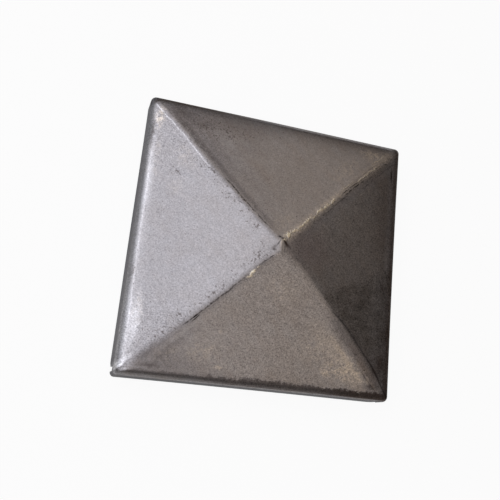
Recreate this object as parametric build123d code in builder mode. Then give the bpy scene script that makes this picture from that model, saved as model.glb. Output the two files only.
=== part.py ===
from build123d import *
import math
import os

os.makedirs("parts", exist_ok=True)

# Low pyramid cap for a square steel post, pressed from one piece of sheet. Millimetres, +Z up.
# The origin is the middle of the plane that the flanges' lower edges lie in, so the cap rests on z = 0.

# The post, and how the cap goes over it
post_width = 101.6        # outside of a 4 in square tube
post_clearance = 0.8      # between the post and each flange, measured where the rim bends
sheet = 1.5               # thickness of the steel, the same all over

# The pressed form
edge_height = 12.0        # level where the planes of a face and its flange would meet
pitch = 10.3              # slope of the four faces, in degrees
rim_bend = 2.6            # inside radius of the bend between a face and its flange
flange_splay = 2.0        # how far the flanges lean out, in degrees
crease_radius = 0.5       # inside radius of the ridges, the upright corners and the blunt apex
apex_flat = 3.0           # width of the blunt apex

# The flange ends: each flange runs to the corner on its left, seen from outside, and stops short on its right
corner_gap = 1.8          # open slit between a flange's short end and the inside of its neighbour
slit_round = 0.6          # rounding at the head of the slit
end_radius = 2.5          # rounded lower corners of the flange ends

cut_margin = 2.0          # how far cutting shapes reach past the metal

half_width = post_width / 2 + post_clearance + sheet
half_flat = apex_flat / 2
apex_height = edge_height + (half_width - half_flat) * math.tan(math.radians(pitch))
outer_bend = rim_bend + sheet
outer_crease = crease_radius + sheet
bend_turn = math.radians(90 - pitch - flange_splay)
flange_top = edge_height - outer_bend * math.tan(bend_turn / 2)
flange_lean = math.tan(math.radians(flange_splay))
foot_flare = edge_height * flange_lean
foot_half_width = half_width + foot_flare


def filled_form(inset):
    """The cap as a solid block, its surface moved inwards by inset and its flanges run on below z = 0."""
    depth = sheet + cut_margin
    foot = foot_half_width + depth * flange_lean
    with BuildPart() as form:
        # One section drawn from the front and from the side: the two extrusions share the mitred form
        for plane, mode in ((Plane.XZ, Mode.ADD), (Plane.YZ, Mode.INTERSECT)):
            with BuildSketch(plane):
                with BuildLine():
                    FilletPolyline(
                        (-foot, -depth),
                        (-half_width, edge_height),
                        (-half_flat, apex_height),
                        (half_flat, apex_height),
                        (half_width, edge_height),
                        (foot, -depth),
                        radius=(0, outer_bend, 0, 0, outer_bend, 0),
                        close=True,
                    )
                make_face()
                if inset:
                    offset(amount=-inset, kind=Kind.INTERSECTION)
            extrude(amount=foot + cut_margin, both=True, mode=mode)
        # Each corner's upright edge, mitred bend and ridge are one smooth chain that lies on a diagonal
        apex_edges = form.faces().sort_by(Axis.Z)[-1].edges()
        on_diagonal = form.edges().filter_by(lambda edge: abs(abs(edge.center().X) - abs(edge.center().Y)) < 0.01)
        creases = on_diagonal.filter_by(lambda edge: abs(edge.center().X) > half_flat)
        fillet(creases + apex_edges, radius=outer_crease - inset)
    return form.part


outer_form = filled_form(0)
inner_form = filled_form(sheet)

# What is cut away at the corner at low x and low y: the flange along x = -half_width is the short one
with BuildPart() as corner_cut:
    slit_near = sheet - half_width
    slit_far = slit_near + corner_gap
    with BuildSketch(Plane.YZ.offset(-foot_half_width - cut_margin)):
        with BuildLine():
            FilletPolyline(
                (slit_near, -cut_margin),
                (slit_near, flange_top),
                (slit_far, flange_top),
                (slit_far, 0),
                (slit_far + 2 * end_radius, 0),
                (slit_far + 2 * end_radius, -cut_margin),
                radius=(0, slit_round, slit_round, end_radius, 0, 0),
                close=True,
            )
        make_face()
    extrude(amount=cut_margin + foot_flare + sheet + cut_margin)
    # The lower corner of the flange that runs on, along y = -half_width
    with BuildSketch(Plane.XZ.offset(half_width - sheet)):
        with Locations((-foot_half_width, 0)):
            Rectangle(2 * end_radius, 2 * end_radius)
        with Locations((-foot_half_width + end_radius, end_radius)):
            Circle(end_radius, mode=Mode.SUBTRACT)
    extrude(amount=sheet + foot_flare + cut_margin)

with BuildPart() as post_cap:
    add(outer_form)
    add(inner_form, mode=Mode.SUBTRACT)
    split(bisect_by=Plane.XY, keep=Keep.TOP)
    with PolarLocations(0, 4):
        add(corner_cut.part, mode=Mode.SUBTRACT)

post_cap.part.label = "post_cap"
export_step(post_cap.part, "parts/post_cap.step")
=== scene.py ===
import bpy
import math
import numpy as np
from mathutils import Matrix, Vector


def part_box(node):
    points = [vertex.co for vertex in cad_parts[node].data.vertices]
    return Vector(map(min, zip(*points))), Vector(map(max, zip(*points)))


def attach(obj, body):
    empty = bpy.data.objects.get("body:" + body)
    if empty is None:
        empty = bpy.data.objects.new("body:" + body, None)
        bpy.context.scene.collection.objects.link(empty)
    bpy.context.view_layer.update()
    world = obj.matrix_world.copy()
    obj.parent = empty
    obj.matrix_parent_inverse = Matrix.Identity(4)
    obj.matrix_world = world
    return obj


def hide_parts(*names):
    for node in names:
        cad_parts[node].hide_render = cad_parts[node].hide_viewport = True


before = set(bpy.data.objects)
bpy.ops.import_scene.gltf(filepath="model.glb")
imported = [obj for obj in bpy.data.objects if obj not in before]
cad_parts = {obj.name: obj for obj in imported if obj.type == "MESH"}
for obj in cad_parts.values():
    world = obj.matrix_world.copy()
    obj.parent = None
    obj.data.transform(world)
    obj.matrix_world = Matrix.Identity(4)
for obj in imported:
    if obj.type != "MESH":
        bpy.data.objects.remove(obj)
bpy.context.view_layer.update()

mm = 0.001
degree = math.pi / 180

# The cap is one sheet carried round a rounded square. The outline runs along, and the section runs from
# the flange's lower edge over the rim bend and up the face to the apex. The sides go round as front,
# right, back, left, and the corner at the end of each side has the side's number.
cap = {
    "sheet": 1.5 * mm,          # thickness of the steel
    "edgeHeight": 12.0 * mm,    # level where a face and its flange would meet
    "splay": 2.0 * degree,      # lean of the flanges
    "bend": 4.1 * mm,           # outside radius of the rim bend
    "rimPitch": 16.0 * degree,  # slope of a face beside the bend, a little more than further in
    "rollOff": 3.2 * mm,        # how far in from the bend that extra slope dies away
    "cornerRound": 1.8 * mm,    # upright corners, seen from above
    "cornerGap": 1.8 * mm,      # open slit at the short end of each flange
    "slitRound": 0.6 * mm,      # height of the slit's rounded head
    "endRound": 2.5 * mm,       # lower corners of the flange ends
    "cutEdge": 0.2 * mm,        # rounding of the sheared edges
    "bluntness": 0.9 * mm,      # how far from the middle the apex starts to round over
    "apexShift": (0.8 * mm, -0.3 * mm),     # to the right and to the front
    "apexLength": 1.5 * mm,     # the apex is a short crest that runs front to back, this long each way
    "crestShare": 0.12,         # share of the way out in which that crest dies away
    "ridge": [1.8 * mm, 1.6 * mm, 0.7 * mm, 0.9 * mm],        # ridges seen from above, where crisp
    "ridgeInner": [0.5 * mm, 0.3 * mm, 0.5 * mm, 0.3 * mm],   # what is added towards the apex
    "ridgeOuter": [1.4 * mm, 0.8 * mm, 0.6 * mm, 1.2 * mm],   # and towards the corner
    "innerShare": 0.33,         # share of the way out in which ridgeInner dies away
    "outerShare": (0.45, 0.8),  # and over which ridgeOuter comes in
    "ridgeBow": [1.2 * mm, 0.8 * mm, 0.6 * mm, 1.15 * mm],    # how far each ridge strays sideways
    "ridgeSway": [0.35 * mm, 0.1 * mm, -0.25 * mm, 0.0],      # and more of it near the apex or the corner
    "ridgeHook": [0.0, 0.0, 0.8 * mm, 0.5 * mm],              # and where it meets the bend
    "hookShare": (0.8, 1.0),    # share of the way out over which that comes in
    "steadyRadius": 1.5 * mm,   # nearer the apex than this the straying doesn't turn the ridges further
    "flangeSag": [0.12 * mm, 0.26 * mm, 0.02 * mm, 0.12 * mm],  # how far each side draws in at its middle
    "footTuck": 0.3 * mm,       # how far the left flange's foot draws in at the back left
    "backTuck": 0.21 * mm,      # and the back side there
    "tuckHeight": 9 * mm,       # where the foot's tuck ends
    "tuckFrom": -10 * mm,       # y from which it comes in
    "droop": (0.15 * mm, 0.45 * mm),     # how far the left face sags beside its bend, and at its front end
    "droopWidth": 7.5 * mm,
    "droopAlong": (10 * mm, 36 * mm),    # from the middle towards the front, where the sag grows
    "droopHeight": (3 * mm, 9 * mm),     # and the levels between which it comes in
    "wave": 0.05 * mm,          # slow unevenness of the faces
    "waveScale": (7.1 * mm, 8.3 * mm, 12.7 * mm),   # along x, along y and slantwise, for each radian
    "wavePhase": (0.6, -0.4, 2.0),
    "waveShare": (0.05, 0.3),   # share of the way out over which the waves come in
    "columns": 92,              # along each side
    "slitColumns": 5,           # of these, across the slit
    "cornerColumns": 7,
    "flangeRows": 8,
    "bendRows": 16,
    "faceRows": 60,
    "rowCrowding": 1.15,        # above 1 the face's rows lie closer towards the apex
}


def smoothStep(value, low, high):
    t = np.clip((value - low) / (high - low), 0, 1)
    return t * t * (3 - 2 * t)


# One surface of the sheet, as rows by columns. inset is 0 for the outside and the sheet's thickness for
# the inside. Row by row it is a rounded square of half width out, at height z. The section (out, z) is a
# line for the flange, an arc for the bend, and for the face a slope that eases off as exp(-distance).
def capSurface(c, inset):
    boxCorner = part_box("post_cap")[1]
    half = boxCorner[0] - c["edgeHeight"] * math.tan(c["splay"])
    apexZ = boxCorner[2] - inset / math.cos(c["rimPitch"])
    flangeNormal = np.array([math.cos(c["splay"]), math.sin(c["splay"])])
    faceNormal = np.array([math.sin(c["rimPitch"]), math.cos(c["rimPitch"])])
    reach = c["bend"] / (1 + flangeNormal @ faceNormal)
    centre = np.array([half, c["edgeHeight"]]) - reach * (flangeNormal + faceNormal)
    turn = np.linspace(c["splay"], math.pi / 2 - c["rimPitch"], c["bendRows"])
    bendOut = centre[0] + (c["bend"] - inset) * np.cos(turn)
    bendZ = centre[1] + (c["bend"] - inset) * np.sin(turn)
    flangeTop = bendZ[0]
    rimOut = bendOut[-1]
    faceOut = rimOut * np.linspace(1, 0, c["faceRows"] + 1)[1:-1] ** c["rowCrowding"]
    climb = np.hypot(rimOut, c["bluntness"]) - np.hypot(np.append(faceOut, 0), c["bluntness"])
    eased = c["rollOff"] * (1 - np.exp(-climb / c["rollOff"]))
    slope = (apexZ - bendZ[-1] - math.tan(c["rimPitch"]) * eased[-1]) / (climb[-1] - eased[-1])
    faceZ = bendZ[-1] + slope * (climb - eased) + math.tan(c["rimPitch"]) * eased

    # one side's columns: straight ones up to the slit, across the slit, then the corner's arc
    outerStraight = half - c["cornerRound"]
    slitAt = (half - c["sheet"] - c["cornerGap"]) / outerStraight
    alongSide = np.concatenate([
        np.linspace(-1, slitAt, c["columns"] - c["slitColumns"]),
        np.linspace(slitAt, 1, c["slitColumns"] + 1)[1:],
    ])
    stubAngle = math.asin((c["cornerRound"] - c["sheet"]) / c["cornerRound"])
    arc = np.linspace(stubAngle, math.pi / 2, c["cornerColumns"] + 1)[:-1]
    perSide = len(alongSide) + len(arc)
    columns = 4 * perSide
    side = np.repeat(np.arange(4), perSide)
    along = np.tile(np.concatenate([alongSide, np.ones(len(arc))]), 4)
    angle = np.tile(np.concatenate([np.zeros(len(alongSide)), arc]), 4)
    place = np.arange(columns) % perSide
    inSlit = (place >= c["columns"] - c["slitColumns"] - 1) & (place < c["columns"])

    flange = slice(0, c["flangeRows"])
    out = np.concatenate([np.zeros(c["flangeRows"]), bendOut, faceOut])[:, None] + np.zeros(columns)
    z = np.concatenate([np.zeros(c["flangeRows"]), bendZ, faceZ[:-1]])[:, None] + np.zeros(columns)
    # the flange ends are rounded below: height of a circle's foot over the distance from the end
    shortEnd = np.where(angle == 0, (slitAt - along) * outerStraight, c["endRound"])
    roundCorner = c["cornerRound"] * (1 - np.cos(angle))
    longEnd = np.where(angle > 0, roundCorner, (1 + along) * outerStraight + c["cornerRound"])
    fromEnd = np.clip(np.minimum(np.abs(shortEnd), longEnd), 0, c["endRound"])
    lowest = c["endRound"] - np.sqrt(c["endRound"] ** 2 - (c["endRound"] - fromEnd) ** 2)
    rise = np.linspace(0, 1, c["flangeRows"] + 1)[:-1, None]
    z[flange] = lowest + (flangeTop - lowest) * rise
    # the slit's head is half an ellipse, and its row is the bend's first
    slitMiddle = (slitAt + 1) / 2
    acrossSlit = np.clip(np.abs(along - slitMiddle) / (1 - slitMiddle), 0, 1)
    z[c["flangeRows"]] -= np.where(inSlit, c["slitRound"] * (1 - np.sqrt(1 - acrossSlit ** 2)), 0)
    lineOut = half + (c["edgeHeight"] - z[: c["flangeRows"] + 1]) * math.tan(c["splay"])
    out[: c["flangeRows"] + 1] = lineOut - inset / math.cos(c["splay"])

    # corner radii seen from above: the upright corner's at the flange, the ridge's on the face, and near the
    # apex at most nine tenths of the ring's own half width
    share = np.clip(out / rimOut, 0, 1)
    upright = np.clip((out - rimOut) / (half - inset - rimOut), 0, 1)

    def radiusAt(corner):
        ridge = np.take(c["ridge"], corner)
        ridge = ridge + np.take(c["ridgeInner"], corner) * np.exp(-((share / c["innerShare"]) ** 2))
        ridge = ridge + np.take(c["ridgeOuter"], corner) * smoothStep(share, *c["outerShare"])
        return np.minimum(ridge + (c["cornerRound"] - inset - ridge) * upright, 0.9 * out)

    right = radiusAt(side)
    left = radiusAt((side - 1) % 4)
    straight = -(out - left) + (along + 1) / 2 * (2 * out - left - right)
    sideways = np.where(angle > 0, out - right + right * np.sin(angle), straight)
    outward = np.where(angle > 0, out - right + right * np.cos(angle), out)
    normalX = np.array([0, 1, 0, -1])[side]
    normalY = np.array([-1, 0, 1, 0])[side]
    planX = outward * normalX - sideways * normalY
    planY = outward * normalY + sideways * normalX

    # each side draws in a little between its corners
    sag = np.take(c["flangeSag"], side) * np.clip(1 - (sideways / half) ** 2, 0, 1) * share ** 6
    x, y = planX - sag * normalX, planY - sag * normalY
    # the foot of the left flange and the back side draw in towards the back left corner
    nearFoot = smoothStep(c["tuckHeight"] - z, 0, c["tuckHeight"])
    outerTenth = 0.9 * half
    x = x + c["footTuck"] * nearFoot * smoothStep(y, c["tuckFrom"], half) * smoothStep(-x, outerTenth, half)
    y = y - c["backTuck"] * smoothStep(-x, 0, half) * smoothStep(y, outerTenth, half)
    # the apex is a short crest: near it each ring is stretched from front to back
    crest = c["apexLength"] * np.exp(-((share / c["crestShare"]) ** 2))
    y = y * (1 + crest / out)
    # each ridge strays sideways: points near it turn about the apex, less and less towards mid-face
    radius = np.hypot(x, y)
    bearing = np.arctan2(y, x)
    turnBy = np.zeros_like(x)
    for corner, diagonal in enumerate((-45, 45, 135, -135)):
        away = np.abs((bearing - diagonal * degree + math.pi) % (2 * math.pi) - math.pi)
        near = np.where(away < math.pi / 4, np.cos(2 * away) ** 2, 0)
        stray = c["ridgeBow"][corner] * np.sin(math.pi * share)
        stray = stray + c["ridgeSway"][corner] * np.sin(2 * math.pi * share)
        stray = stray + c["ridgeHook"][corner] * smoothStep(share, *c["hookShare"]) * (1 - upright)
        turnBy += near * stray / np.maximum(radius, c["steadyRadius"])
    x, y = x * np.cos(turnBy) - y * np.sin(turnBy), x * np.sin(turnBy) + y * np.cos(turnBy)
    fade = (1 - share) ** 2
    x = x + c["apexShift"][0] * fade
    y = y + c["apexShift"][1] * fade
    # slow waves in the faces, none at the apex or below the bend
    turnX, turnY, turnBoth = (
        way / scale + phase for way, scale, phase in zip((x, y, x + y), c["waveScale"], c["wavePhase"])
    )
    waves = np.sin(turnX) * np.cos(turnY) + np.sin(turnBoth)
    z = z + c["wave"] * (waves - 1) * smoothStep(share, *c["waveShare"]) * (1 - upright)
    # the left face sags towards its bend as the square of the distance, more at the front
    leftmost = np.clip((c["droopWidth"] - half - x) / c["droopWidth"], 0, 1) ** 2
    droop = c["droop"][0] + (c["droop"][1] - c["droop"][0]) * smoothStep(-y, *c["droopAlong"])
    z = z - droop * leftmost * smoothStep(z, *c["droopHeight"])

    rows = len(out)
    apex = [c["apexShift"][0], c["apexShift"][1], apexZ]
    points = np.vstack([np.stack([x, y, z], axis=-1).reshape(-1, 3), apex])
    plan = np.vstack([np.stack([planX, planY, z], axis=-1).reshape(-1, 3), [0, 0, apexZ]]) / mm
    index = np.arange(rows * columns).reshape(rows, columns)
    nextIndex = np.roll(index, -1, axis=1)
    quads = np.stack([index[:-1], nextIndex[:-1], nextIndex[1:], index[1:]], axis=-1)
    keep = np.ones((rows - 1, columns), bool)
    keep[: c["flangeRows"], inSlit] = False
    fan = np.stack([index[-1], nextIndex[-1], np.full(columns, rows * columns)], axis=-1)
    return points, plan, quads[keep], fan


# The outside, the inside turned round, and a rim between them along every edge that only one face uses.
def capMesh(c):
    outer, outerPlan, quads, fan = capSurface(c, 0)
    inner, innerPlan, _, _ = capSurface(c, c["sheet"])
    count = len(outer)
    start, end = quads.ravel(), np.roll(quads, -1, axis=1).ravel()
    start = np.concatenate([start, fan.ravel()])
    end = np.concatenate([end, np.roll(fan, -1, axis=1).ravel()])
    free = ~np.isin(start * count + end, end * count + start)
    rim = np.stack([end[free], start[free], start[free] + count, end[free] + count], axis=-1)
    faceLists = [quads, fan, quads[:, ::-1] + count, fan[:, ::-1] + count, rim]
    return np.vstack([outer, inner]), np.vstack([outerPlan, innerPlan]), faceLists


# Puts the points and faces into a mesh. Points that no face uses are dropped.
def makePiece(name, points, plan, faceLists):
    used = np.unique(np.concatenate([faces.ravel() for faces in faceLists]))
    renumber = np.full(len(points), -1)
    renumber[used] = np.arange(len(used))
    faces = sum((renumber[faceList].tolist() for faceList in faceLists), [])
    mesh = bpy.data.meshes.new(name)
    mesh.from_pydata(points[used].tolist(), [], faces)
    mesh.polygons.foreach_set("use_smooth", np.ones(len(mesh.polygons), bool))
    # the place on the unbent form, in mm: the ridges lie exactly on its diagonals
    mesh.attributes.new("plan", "FLOAT_VECTOR", "POINT").data.foreach_set("vector", plan[used].ravel())
    isInside = (used >= len(points) // 2).astype(float)
    mesh.attributes.new("inside", "FLOAT", "POINT").data.foreach_set("value", isInside)
    mesh.update()
    piece = bpy.data.objects.new(name, mesh)
    bpy.context.scene.collection.objects.link(piece)
    return piece


pressedCap = makePiece("pressed_cap", *capMesh(cap))
cutEdges = pressedCap.modifiers.new("cutEdges", "BEVEL")
cutEdges.width = cap["cutEdge"]
cutEdges.segments = 2
cutEdges.limit_method = "ANGLE"
cutEdges.angle_limit = 55 * degree
cutEdges.harden_normals = True
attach(pressedCap, "root")
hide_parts("post_cap")
print("cap made,", len(pressedCap.data.polygons), "faces")


# A node's output, with sums on it written as Python
class Wire:
    def __init__(self, paint, socket):
        self.paint = paint
        self.socket = socket

    def math(self, operation, *others):
        return self.paint.node("ShaderNodeMath", {"operation": operation}, self, *others)

    def __add__(self, other):
        return self.math("ADD", other)

    def __sub__(self, other):
        return self.math("SUBTRACT", other)

    def __rsub__(self, other):
        return self.paint.node("ShaderNodeMath", {"operation": "SUBTRACT"}, other, self)

    def __mul__(self, other):
        return self.math("MULTIPLY", other)

    __radd__ = __add__
    __rmul__ = __mul__

    # 0 below low and full above high, smooth between; low may be the larger
    def ramp(self, low, high, full=1.0):
        settings = {"interpolation_type": "SMOOTHSTEP", "clamp": True}
        limits = {"From_Min": low, "From_Max": high, "To_Max": full}
        return self.paint.node("ShaderNodeMapRange", settings, Value=self, **limits)

    def clamp(self):
        return self.paint.node("ShaderNodeClamp", {}, self)

    def greatest(self, other):
        return self.math("MAXIMUM", other)


# A material's node tree
class Paint:
    def __init__(self, name):
        self.material = bpy.data.materials.new(name)
        self.material.use_nodes = True
        self.tree = self.material.node_tree
        self.shader = self.tree.nodes["Principled BSDF"]

    # any node: settings first, then inputs in order or by identifier, with _ for a space
    def node(self, kind, settings, *inputs, out=0, **named):
        made = self.tree.nodes.new(kind)
        for key, value in settings.items():
            setattr(made, key, value)
        byPlace = list(zip(made.inputs, inputs))
        sockets = {socket.identifier.replace(" ", "_"): socket for socket in made.inputs}
        byName = [(sockets[key], value) for key, value in named.items()]
        for socket, value in byPlace + byName:
            self.join(socket, value)
        return Wire(self, made.outputs[out])

    def join(self, socket, value):
        if isinstance(value, Wire):
            self.tree.links.new(value.socket, socket)
        else:
            socket.default_value = value

    def feed(self, name, value):
        self.join(self.shader.inputs[name], value)

    # what the mesh holds for each point under this name
    def attribute(self, name, out):
        settings = {"attribute_type": "GEOMETRY", "attribute_name": name}
        return self.node("ShaderNodeAttribute", settings, out=out)

    # noise of about this many mm from lump to lump, around 0
    def noise(self, place, period, detail, roughness):
        look = {"Scale": 1 / period, "Detail": detail, "Roughness": roughness}
        return self.node("ShaderNodeTexNoise", {"noise_dimensions": "3D"}, Vector=place, **look) - 0.5

    # a vector's or a colour's three numbers
    def parts(self, vector):
        split = self.node("ShaderNodeSeparateXYZ", {}, vector)
        return [Wire(self, socket) for socket in split.socket.node.outputs]

    # the first colour where the amount is 0, the second where it is 1; Mix gives it as its third output
    def blend(self, amount, first, second):
        sockets = {"Factor_Float": amount, "A_Color": first, "B_Color": second}
        return self.node("ShaderNodeMix", {"data_type": "RGBA"}, out=2, **sockets)


# Raw pressed steel. Lengths are mm on the cap's plan: x to the right, y to the back, apex in the middle.
# A patch is an ellipse: middle x and y, half axes, degrees turned, strength.
# A strip follows a ridge: offset to the right of it on the plan, half width, from and to along it from
# the apex, strength.
steel = {
    "bare": (0.435, 0.425, 0.435, 1),
    "mottleTone": (0.37, 0.335, 0.315, 1),
    "film": (0.060, 0.043, 0.034, 1),       # dark oxide and grime, and painted shade and dark reflections along the bends and ridges
    "shade": (0.156, 0.158, 0.170, 1),      # painted shade on the flanges, for the dark surroundings they reflect
    "crack": (0.014, 0.009, 0.007, 1),      # hairlines and the grime packed beside the ridges
    "oliveFilm": (0.052, 0.048, 0.040, 1),  # the film on the right face's outer half
    "tan": (0.72, 0.655, 0.58, 1),          # thin brown stain, and a painted highlight beside the front right ridge
    "brown": (0.19, 0.105, 0.055, 1),       # thicker brown film
    "plum": (0.24, 0.125, 0.135, 1),        # a reddish film beside the apex
    "worn": (1.0, 0.90, 0.70, 1),           # rubbed to bare metal, a little brassy
    "shiny": (0.74, 0.73, 0.74, 1),         # painted highlight, light grey
    "roughness": 0.30,
    # noise: mm from lump to lump, detail, roughness
    "grain": (0.5, 2.0, 0.6),
    "fine": (1.0, 3.0, 0.6),
    "flecks": (1.7, 4.0, 0.75),
    "grit": (0.85, 2.0, 0.7),
    "mottle": (5.0, 4.0, 0.6),
    "clouds": (17.0, 3.0, 0.5),
    "drag": (3.0, 3.0, 0.5),
    "dashes": (0.9, 2.0, 0.6),
    "grimeAndShadePatches": [
        # along the back bend
        (-23, 50, 7, 2.0, 0, 0.40), (-31, 44.5, 6, 3, 10, 0.20), (-40, 48.5, 12, 4, -8, 0.20),
        (-20, 47, 34, 7, 0, 0.16), (-14, 38, 8, 7, 0, 0.12),
        # along the right bend
        (48.6, 39, 0.9, 5, 0, 0.95), (48.8, 24, 1.4, 8, 0, 0.35), (48.2, 7, 1.6, 9, 0, 0.5),
        (47, -9, 2.2, 8, 0, 0.5), (48.8, -28, 1.5, 12, 0, 0.45), (46, -22, 9, 26, 0, 0.22),
        # at the front right corner
        (48, -37, 3.5, 7, 0, 0.4), (46, -42, 7, 12, 0, 0.7), (44, -37.5, 3, 1.0, 40, 0.3),
        (44, -48.2, 5, 1.8, 0, 0.5),
        # along the front and left bends; the last two are painted shade on the left bend, where its
        # highlight begins further in
        (-42, -48.2, 6, 1.6, 3, 0.35), (-38, -46.5, 21, 10, 14, 0.38), (-22, -50, 18, 6, 0, 0.15),
        (-51.6, -17, 1.4, 7, 0, 0.4), (-51.2, 38, 1.8, 9, 0, 0.6),
        # round the apex, and the fold beside the back right ridge
        (10, -0.5, 12, 9, 0, 0.31), (1.4, 0.8, 4.4, 0.98, -27, 1.0), (-2.8, -0.7, 2.2, 0.98, 40, 0.5),
        (26.0, 23.0, 4.0, 1.2, 45, 0.35),
    ],
    "crackPatches": [
        # at the back right corner
        (41.0, 40.6, 4.5, 0.42, 42, 1.0), (45.6, 43.5, 2.4, 0.42, 12, 1.0), (38.0, 37.2, 2.5, 0.5, 48, 0.7),
        (48.7, 39, 0.6, 4.5, 0, 0.9),
        # round the apex
        (7.3, 5.2, 1.9, 0.3, 12, 0.5), (-0.9, 2.1, 1.0, 0.6, 0, 0.9), (-1.2, 0.4, 1.4, 0.35, 35, 0.7),
        (-2.6, -1.2, 1.2, 0.5, 10, 0.6), (1.3, -0.5, 0.3, 1.9, 0, 0.75), (8.8, -6.0, 0.3, 1.4, 5, 0.5),
        (6.6, -4.1, 2.3, 0.3, -38, 0.5),
        # beside the two left ridges, and a pit near the front right corner
        (-20.6, 17.6, 1.3, 0.4, 0, 0.6), (-16.3, 14.8, 1.6, 0.3, -25, 0.7),
        (-27.6, 25.9, 1.2, 0.28, -15, 0.7), (-28.3, -29.9, 3.0, 0.3, 50, 1.2),
        (-28.9, -29.4, 2.4, 0.28, 47, 1.1), (40.3, -42.4, 0.4, 0.5, 0, 0.9),
    ],
    "tanPatches": [
        # on the front face
        (33, -43, 13, 6.5, -8, 1.3), (24, -45.0, 3.4, 2.6, -35, 1.0), (29.2, -36.2, 4.6, 1.0, -34, 0.6),
        (43.5, -47, 5.5, 1.4, -38, 1.0), (-18, -34, 2.0, 1.4, 0, 0.6), (-17, -47, 4.5, 1.2, 5, 0.8),
        (-24, -42, 10, 5, 10, 0.55), (-36, -44, 8, 4, 20, 0.5), (3, -16, 10, 9, 0, 0.3),
        (20, -36, 12, 9, 0, 0.4),
        # on the left and back faces
        (-48.7, 44.5, 2.4, 7, -8, 1.2), (-48.4, 29, 1.6, 14, 0, 0.35), (-48.0, -29, 2.6, 9, 0, 0.5),
        (-38, 30, 8, 7, -40, 0.25), (-40, 18, 5, 7, 0, 0.2), (28, 37, 14, 6, 42, 0.35),
        (41, 46, 8, 4, 20, 0.7), (2, 9, 8, 7, 40, 0.3), (37, 47.5, 8, 3, -5, 0.6),
    ],
    "wornPatches": [        # beside the apex
        (2.0, 3.6, 2.2, 1.3, 50, 1.6), (3.7, 5.4, 0.5, 1.3, 0, 0.8), (1.1, 1.5, 0.5, 0.4, 45, 0.6),
        (-9.9, -11.0, 2.2, 0.9, 50, 1.3), (-11.0, -12.4, 1.5, 1.0, 30, 0.9), (-8.0, -8.7, 1.2, 0.5, 45, 0.5),
    ],
    "paintedHighlightPatches": [       # painted highlights along the left bend
        (-48.5, -33, 2.5, 13, -3, 0.75), (-51.3, -49.5, 2.9, 0.65, 52, 1.0),
        (-50.2, -50.8, 3.0, 1.6, 20, 0.55), (-49.8, 20, 1.5, 17, 0, 0.4),
    ],
    "plumPatches": [(12, 0, 16, 14, 0, 0.18)],
    "brownPatches": [
        (39, -40, 18, 3.2, -45, 0.25), (46, 22, 9, 28, 0, 0.20), (40, 36, 12, 7, 45, 0.12),
        (-30, 47, 30, 10, 0, 0.10),
    ],
    "speckPatches": [       # where the dark specks crowd
        (-40, 23, 6, 4, 0, 0.9), (-29, 27, 6, 3, -20, 0.7), (-45, -30, 5, 12, 0, 0.5),
        (-36, -28, 10, 7, 0, 0.4), (-24, 44, 26, 9, -5, 1.0), (26, 6, 5, 4, 0, 0.4),
        (38, -20, 16, 16, 0, 0.3), (-45, 8, 6, 20, 0, 0.3), (33, -43, 12, 5, -8, 0.5),
        (-34, -45, 16, 8, 10, 0.4),
    ],
    # how far the strips of each kind wander, in mm over the mottle's full range
    "wobble": {"film": 1.6, "crack": 1.4, "shiny": 1.6, "speck": 1.6, "tan": 1.6, "worn": 4.0},
    "fallBackStrips": {     # ridge from the apex to the back left corner
        # the first strip here is painted shade in the fold beside the ridge, on the back face
        "film": [(2.4, 2.1, 8, 62, 0.36), (4.5, 6.0, 34, 72, 0.2), (7, 10, 14, 76, 0.16),
                 (-0.4, 1.2, 3, 42, 0.25)],
        "crack": [(0.8, 0.5, 7, 32, 0.85), (1.6, 0.4, 42, 62, 0.35)],
        # painted highlight along the ridge's outer end, on the left face
        "shiny": [(-0.9, 0.5, 40, 71, 0.7)],
        "speck": [(-2.4, 4.0, 6, 56, 0.9)],
    },
    "fallFrontStrips": {    # to the front right corner
        # the first strip here is painted shade beside the ridge, on the front face
        "film": [(-1.2, 3.2, 34, 60, 0.42), (1.6, 1.3, 36, 62, 0.2)],
        # painted highlight along a fold on the front face, in the stain's colour
        "tan": [(-5.2, 1.8, 40, 60, 0.7), (-7.5, 4.5, 30, 66, 0.3)],
        "crack": [(-2.6, 0.35, 58, 70, 0.6)],
    },
    "riseBackStrips": {     # to the back right corner
        "film": [(3.0, 2.8, 6, 50, 0.33), (-0.6, 1.6, 38, 49, 0.3), (4.6, 1.8, 50, 72, 0.35)],
        "crack": [(2.0, 0.5, 22, 38, 0.6), (1.3, 0.45, 37, 49, 1.0), (2.0, 0.4, 48, 58, 0.7),
                  (3.4, 0.5, 46, 66, 0.6), (0.4, 0.45, 36, 50, 1.0), (-0.8, 0.3, 50, 58, 0.6)],
        "worn": [(-0.4, 0.7, 1, 16, 1.0), (0.0, 0.6, 15, 33, 1.0), (-0.9, 0.4, 37, 43, 0.8),
                 (0.1, 0.45, 46, 58, 0.9), (-2.0, 0.4, 58, 66, 0.6)],
        "tan": [(0.0, 3.0, 3, 70, 0.9)],
    },
    "riseFrontStrips": {    # to the front left corner
        "film": [(0.2, 2.4, 4, 66, 0.34), (4.2, 2.8, 42, 60, 0.22)],
        "crack": [(0.2, 0.3, 1.5, 11, 0.8), (0.4, 0.4, 18, 46, 0.8)],
        "speck": [(-2.8, 3.6, 3, 60, 1.2)],
        # painted highlight near the front left corner
        "shiny": [(-2.2, 1.2, 66, 75, 0.5)],
    },
}


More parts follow.
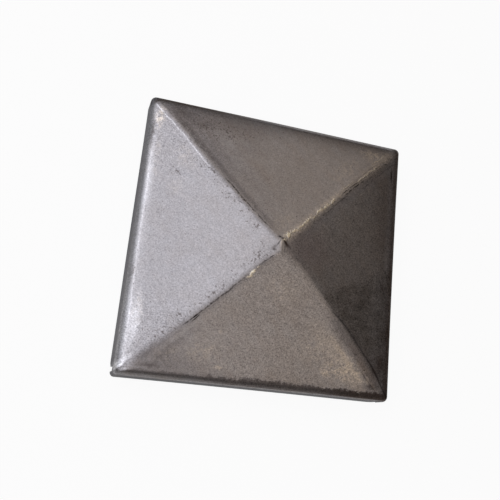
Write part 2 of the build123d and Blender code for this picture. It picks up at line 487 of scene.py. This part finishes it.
def makeSteel(s):
    paint = Paint("rawSteel")
    plan = paint.attribute("plan", "Vector")
    x, y, z = paint.parts(plan)
    inside = paint.attribute("inside", "Fac")
    outside = 1 - inside
    # the edges of patches wander: the place is shifted by noise first, up to 1.5 mm each way
    wander = paint.node("ShaderNodeTexNoise", {"noise_dimensions": "3D"}, out="Color", Vector=plan,
                        Scale=0.45, Detail=4.0)
    shift = paint.node("ShaderNodeVectorMath", {"operation": "MULTIPLY_ADD"}, wander,
                       (3.0, 3.0, 0), (-1.5, -1.5, 0))
    moved = paint.node("ShaderNodeVectorMath", {"operation": "ADD"}, plan, shift)
    movedX, movedY, _ = paint.parts(moved)

    grain, fine, flecks, grit, mottle, clouds = (
        paint.noise(plan, *s[name]) for name in ("grain", "fine", "flecks", "grit", "mottle", "clouds")
    )
    # the sheet's rolling marks run from the back left to the front right
    rolled = paint.node("ShaderNodeMapping", {"vector_type": "TEXTURE"}, Vector=plan,
                        Rotation=(0, 0, -45 * degree), Scale=(4, 1, 1))
    drag = paint.noise(rolled, *s["drag"])
    dashes = paint.noise(rolled, *s["dashes"])

    # sum of ellipses, each its strength in the middle and 0 at its edge; small ones don't wander. The
    # gradient node gives 1 less the distance and reads the mapping's point as it is. With a vector length
    # in its place, a few more patches overfill Cycles' stack and the cap renders black.
    def patches(rows):
        total = 0.0
        for cx, cy, rx, ry, turned, strength in rows:
            place = plan if min(rx, ry) < 1.0 else moved
            local = paint.node("ShaderNodeMapping", {"vector_type": "TEXTURE"}, Vector=place,
                               Location=(cx, cy, 0), Rotation=(0, 0, turned * degree), Scale=(rx, ry, 1000))
            inward = paint.node("ShaderNodeTexGradient", {"gradient_type": "SPHERICAL"}, local, out="Fac")
            total = inward.ramp(0.0, 1.0, strength) + total
        return total

    # gap is the distance to the right of a ridge, lie the distance along it from the apex
    def strips(name, kind):
        back = 1 if name.endswith("Back") else -1
        right = back if name.startswith("rise") else -back
        lie = (x * right + y * back) * math.sqrt(0.5)
        straightGap = fallGap if name.startswith("fall") else riseGap
        gap = straightGap + flecks + mottle * s["wobble"][kind]
        total = 0.0
        for offset, width, begin, end, strength in s[name + "Strips"].get(kind, []):
            across = (gap - offset).math("ABSOLUTE").ramp(width, 0.0, strength)
            soft = width + 1.5
            total = across * lie.ramp(begin - soft, begin + soft) * lie.ramp(end + soft, end - soft) + total
        return total

    fallGap, riseGap = (x + y) * math.sqrt(0.5), (x - y) * math.sqrt(0.5)
    ridges = ("fallBack", "fallFront", "riseBack", "riseFront")
    grimeAndShadeStrips, crackStrips = (sum(strips(ridge, kind) for ridge in ridges) for kind in ("film", "crack"))
    paintedHighlightStrips = strips("fallBack", "shiny") + strips("riseFront", "shiny")
    speckStrips = strips("fallBack", "speck") + strips("riseFront", "speck")

    # the dark crisp line beside the front right ridge swings out and back
    swing = riseGap.ramp(30, 42) * riseGap.ramp(71, 58) * 1.6 + 0.5
    crispLine = (fallGap - swing).math("ABSOLUTE").ramp(0.7, 0.0) * riseGap.ramp(30, 35)

    # painted dark reflections along the rim bends; the front one has a scalloped edge
    scallop = mottle * 3.0 + flecks * 4.5
    frontStrength = x.ramp(-45, 0) * 0.24 + x.ramp(15, 38) * 0.2 + 0.5
    frontRim = (y + scallop).ramp(-49.6, -50.7) * z.ramp(10.0, 11.3) * frontStrength
    backRim = (y + scallop).ramp(44.0, 51.5) * z.ramp(8.5, 11.0) * x.ramp(30, -30) * 0.3
    backEdge = z.ramp(12.75, 12.15) * y.ramp(48.5, 50.0) * (x.ramp(-38, 10) * -0.62 + 0.82)
    rightRim = (x + scallop * 0.6).ramp(46.5, 51.2) * (z.ramp(10.8, 12.2, 0.44) + 0.42)
    # painted shade: the flanges are darkened and duller for the dark surroundings they reflect, the left one
    # more so towards its foot and its back end, and the lower edge darker still
    leftSide = x.ramp(-48.6, -50.6)
    flangeShade = z.ramp(10.2, 9.0) * (z.ramp(2, 8) * 0.12 + 0.72) * (1 - leftSide) + z.ramp(1.2, 0.0) * 0.1
    leftTone = (z.ramp(10.0, 4.0) * 0.38 + z.ramp(9.6, 10.9) * 0.2 + 0.5) * z.ramp(12.5, 11.2)
    flangeShade = flangeShade + leftSide * leftTone * (y.ramp(-45, 25) * 0.4 + 0.66)
    broken = (flecks * 6.0 + 0.7).clamp()
    crack = (patches(s["crackPatches"]) + crackStrips * broken + crispLine * 0.7).clamp() * outside
    # grime, with painted shade in the folds beside the ridges and on the left bend, and painted dark
    # reflections along the rim bends
    film = patches(s["grimeAndShadePatches"]) + grimeAndShadeStrips * (flecks * 2.2 + 1.0).clamp()
    film = film.greatest(frontRim).greatest(backRim.greatest(backEdge)).greatest(rightRim) * outside
    # the inside was never rubbed: the same dull film all over, thicker in the folds
    folds = fallGap.math("ABSOLUTE").ramp(2.5, 0.0, 0.35) + riseGap.math("ABSOLUTE").ramp(2.5, 0.0, 0.35)
    film = film + inside * (mottle * 0.7 + clouds * 0.5 + folds + 0.45)

    # dark specks, more of them where they crowd
    crowding = (patches(s["speckPatches"]) + speckStrips * 0.8 + 0.15).clamp()
    crowding = crowding * (mottle * 3.0 + 0.9).clamp()
    speck = (grit + dashes * 0.4 + fine * 0.3 + crowding * 0.16).ramp(0.19, 0.30)

    # the left face is the cleanest, and the front and right ones the most uneven
    onLeft = fallGap.ramp(0.5, -0.5) * riseGap.ramp(0.5, -0.5)
    toFront = riseGap.ramp(-0.5, 0.5)
    # the greener, darker half of the right face begins along a slanting line
    olive = ((movedX - 23) * 0.43 - (movedY + 13) * 0.90).ramp(-1.0, 4.0) * (x + y).ramp(0.5, 2.5)

    stainAndHighlightStrips, wornStrips = (sum(strips(ridge, kind) for ridge in ridges) for kind in ("tan", "worn"))
    # stains, and the painted highlight beside the front right ridge
    tan = patches(s["tanPatches"]) * (0.5 - flecks * 7).clamp() + stainAndHighlightStrips * (flecks * 3 + 0.6).clamp()
    tan = tan * outside
    wornSpots = patches(s["wornPatches"]) * (flecks * 5.0 + 0.9).clamp()
    worn = (wornSpots + wornStrips * (flecks * 6 + 0.8).clamp()).clamp() * outside

    stained = (mottle + clouds * 0.7 + drag * 0.9 + fine * 0.25 + 0.3).clamp() * (1.0 - onLeft * 0.55)
    colour = paint.blend(stained, s["bare"], s["mottleTone"])
    colour = paint.blend((tan * 0.9).clamp(), colour, s["tan"])
    colour = paint.blend((olive * (mottle * 1.5 + 0.3)).clamp(), colour, s["oliveFilm"])
    colour = paint.blend(patches(s["brownPatches"]).clamp(), colour, s["brown"])
    plum = patches(s["plumPatches"]) * (x + y).ramp(0, 1.5) * (x - y).ramp(0, 1.5)
    colour = paint.blend(plum, colour, s["plum"])
    colour = paint.blend(film.clamp(), colour, s["film"])
    colour = paint.blend(flangeShade.clamp(), colour, s["shade"])
    # painted highlights along the left bend and two ridges, lighter grey, and in the strips a little
    # smoother
    shiny = ((patches(s["paintedHighlightPatches"]) + paintedHighlightStrips) * (flecks * 2 + 1) * outside).clamp()
    colour = paint.blend(shiny, colour, s["shiny"])
    colour = paint.blend(speck * 0.6, colour, s["film"])
    colour = paint.blend(crack, colour, s["crack"])
    colour = paint.blend(worn, colour, s["worn"])
    leftCorners = (y.ramp(18, 34) + y.ramp(-18, -34)) * x.ramp(-20, -40) * (1 - toFront)
    unevenness = toFront * x.ramp(-40, 0) * 0.6 + leftCorners * 0.38 + olive * 0.5 + 0.85
    sheen = onLeft * (x.ramp(-52, -12, 0.12) - 0.05) + 1.0
    lighter = (grain * 1.2 + fine * 0.4 + dashes * 0.3) * unevenness + sheen
    colour = paint.node("ShaderNodeVectorMath", {"operation": "SCALE"}, colour, Scale=lighter)
    paint.feed("Base Color", colour)
    paint.feed("Specular Tint", (0.2, 0.2, 0.2, 1))   # dulls the shine seen along the surface
    paint.feed("Specular IOR Level", 0.06)
    dark = film.clamp().greatest(flangeShade.clamp()) * (1 - shiny)
    dark = dark.greatest(speck * 0.6).greatest(crack)
    paint.feed("Metallic", 1.0 - 0.3 * dark)
    paint.feed("Roughness", (s["roughness"] + 0.18 * dark + 0.12 * mottle - 0.06 * paintedHighlightStrips).clamp())

    # fine tooth of the sheet
    height = grain * 0.5 + fine * 0.6 + mottle * 1.5 + worn * 4.0
    bump = paint.node("ShaderNodeBump", {}, Strength=1.0, Distance=0.02 * mm, Height=height)
    paint.feed("Normal", bump)
    return paint.material


pressedCap.data.materials.append(makeSteel(steel))
print("steel made")

# Floor, level with the flanges' lower edges
floorMesh = bpy.data.meshes.new("floor")
floorMesh.from_pydata([(-4, -4, 0), (4, -4, 0), (4, 4, 0), (-4, 4, 0)], [], [(0, 1, 2, 3)])
floor = bpy.data.objects.new("floor", floorMesh)
bpy.context.scene.collection.objects.link(floor)


# Matt white, lifted to white where the camera or a reflection sees it, so that a light shadow stays
def makeFloorPaint(lift):
    paint = Paint("floorPaint")
    paint.feed("Base Color", (0.88, 0.88, 0.88, 1))
    paint.feed("Roughness", 0.9)
    rays = ("Is Camera Ray", "Is Glossy Ray", "Is Transmission Ray")
    camera, glossy, through = (paint.node("ShaderNodeLightPath", {}, out=ray) for ray in rays)
    seen = camera.greatest(glossy).greatest(through)
    glow = paint.node("ShaderNodeEmission", {}, Color=(1, 1, 1, 1), Strength=1.0)
    both = paint.node("ShaderNodeMixShader", {}, seen * lift, Wire(paint, paint.shader.outputs[0]), glow)
    paint.join(paint.tree.nodes["Material Output"].inputs["Surface"], both)
    return paint.material


floorMesh.materials.append(makeFloorPaint(0.93))

# Camera at the photograph's viewing point
view = {
    "azimuth": -50.006 * degree,
    "elevation": 68.278 * degree,
    "roll": 57.264 * degree,
    "distance": 257.8 * mm,
    "target": (2.5 * mm, 0.48 * mm, 10.6 * mm),
    "focalPixels": 661.9,
    "middlePixel": (277.38, 249.93),
    "frame": 500,
}


def makeCamera(v):
    az, el, roll = v["azimuth"], v["elevation"], v["roll"]
    back = Vector((math.cos(el) * math.sin(az), -math.cos(el) * math.cos(az), math.sin(el)))
    level = Vector((math.cos(az), math.sin(az), 0))
    up = back.cross(level)
    rightward = level * math.cos(roll) + up * math.sin(roll)
    upward = up * math.cos(roll) - level * math.sin(roll)
    camera = bpy.data.objects.new("camera", bpy.data.cameras.new("camera"))
    bpy.context.scene.collection.objects.link(camera)
    turned = Matrix((rightward, upward, back)).transposed().to_4x4()
    camera.matrix_world = Matrix.Translation(Vector(v["target"]) + back * v["distance"]) @ turned
    camera.data.sensor_width = 36
    camera.data.lens = v["focalPixels"] / v["frame"] * 36
    camera.data.shift_x = 0.5 - v["middlePixel"][0] / v["frame"]
    camera.data.shift_y = v["middlePixel"][1] / v["frame"] - 0.5
    camera.data.clip_start = 0.01
    bpy.context.scene.camera = camera


makeCamera(view)

# A window at the left, a wide cool light above it, a warm one above the right, and a dim warm room
light = {
    # the window faces the cap, and the others face straight down
    "window": {"place": (-0.80, 0.15, 0.46), "size": (0.7, 0.8), "power": 2.6, "colour": (0.90, 0.93, 1.0)},
    "sky": {"place": (-0.59, 0.2, 1.0), "size": (1.22, 2.6), "power": 11.4, "colour": (0.91, 0.915, 0.99)},
    "panel": {"place": (0.36, 0.05, 1.0), "size": (0.68, 2.3), "power": 2.05, "colour": (1.0, 0.87, 0.76)},
    "room": (0.078, 0.066, 0.058, 1),
}


def makeLight(l):
    for name in ("window", "sky", "panel"):
        lamp = bpy.data.lights.new(name, "AREA")
        lamp.shape = "RECTANGLE"
        lamp.size, lamp.size_y = l[name]["size"]
        lamp.energy = l[name]["power"]
        lamp.color = l[name]["colour"]
        holder = bpy.data.objects.new(name, lamp)
        bpy.context.scene.collection.objects.link(holder)
        holder.location = l[name]["place"]
        if name == "window":
            holder.rotation_mode = "QUATERNION"
            holder.rotation_quaternion = Vector(l[name]["place"]).to_track_quat("Z", "Y")
    world = bpy.data.worlds.new("room")
    bpy.context.scene.world = world
    world.use_nodes = True
    world.node_tree.nodes["Background"].inputs["Color"].default_value = l["room"]
    world.node_tree.nodes["Background"].inputs["Strength"].default_value = 1.0
    bpy.context.scene.view_settings.view_transform = "Standard"


makeLight(light)
print("floor, camera and light made")
